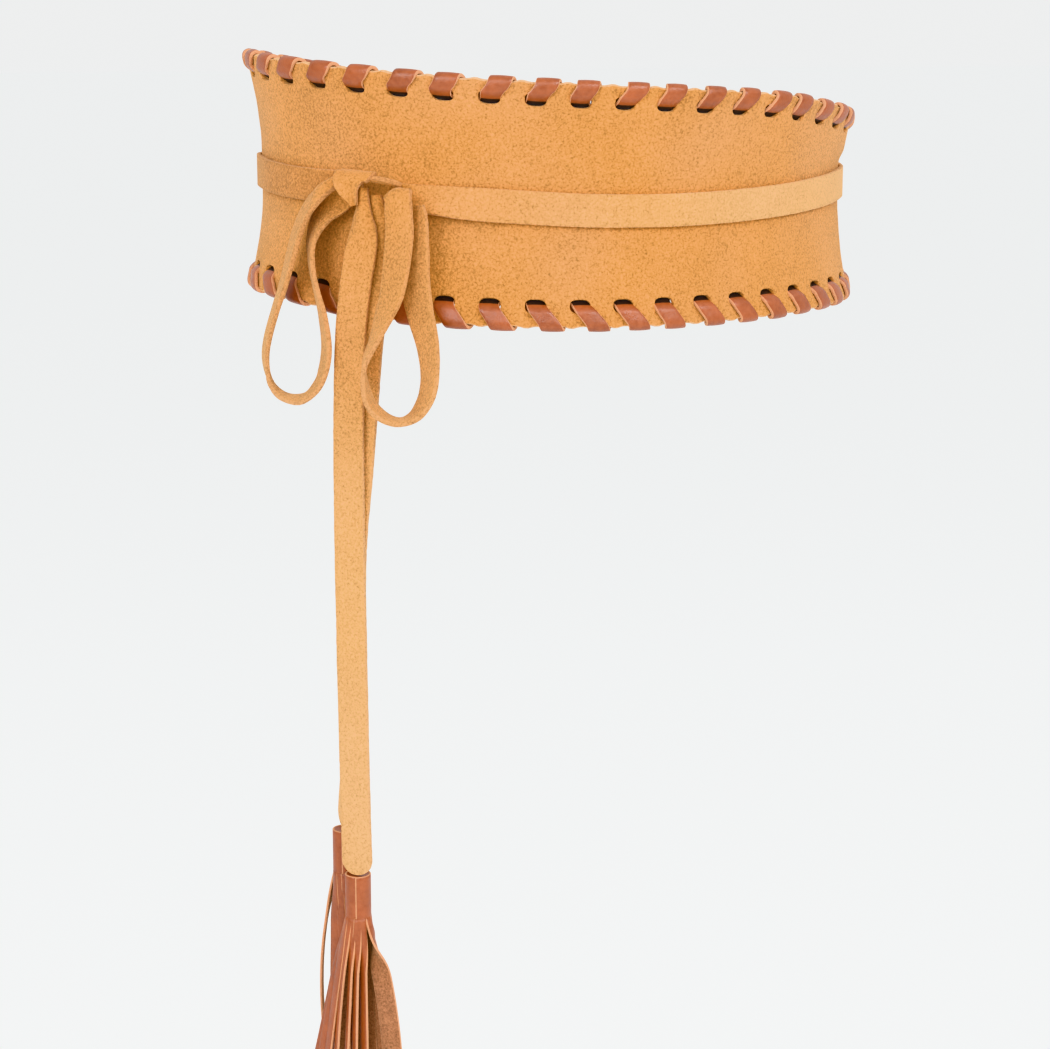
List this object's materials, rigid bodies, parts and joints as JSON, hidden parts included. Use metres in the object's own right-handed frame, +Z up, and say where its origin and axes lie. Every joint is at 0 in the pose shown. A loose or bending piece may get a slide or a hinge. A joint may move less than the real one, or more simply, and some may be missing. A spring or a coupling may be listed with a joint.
{
  "type": "wrap belt",
  "caption": "Wide suede wrap belt, laced along both edges, tied in a bow whose long tails end in fringed leather tassels.",
  "frame": {"origin": "centre of the wearer's waist at the height of the ties", "axes": "+Z up the wearer's body, -Y the wearer's front, +X the wearer's left"},
  "size_m": [0.2749, 0.2059, 0.4232],
  "materials": {
    "suede": "brushed suede, matt",
    "strap_suede": "brushed suede, matt",
    "smooth_leather": "smooth grain, satin"
  },
  "bodies": {
    "root": {"band": "suede", "top_lace": "smooth_leather", "bottom_lace": "smooth_leather", "tie_left": "strap_suede", "tie_right": "strap_suede", "knot": "strap_suede", "bow_loop_left": "strap_suede", "bow_loop_right": "strap_suede", "tail_front": "strap_suede", "tail_rear": "strap_suede", "tassel_front": "smooth_leather", "tassel_rear": "smooth_leather"}
  },
  "joints": []
}
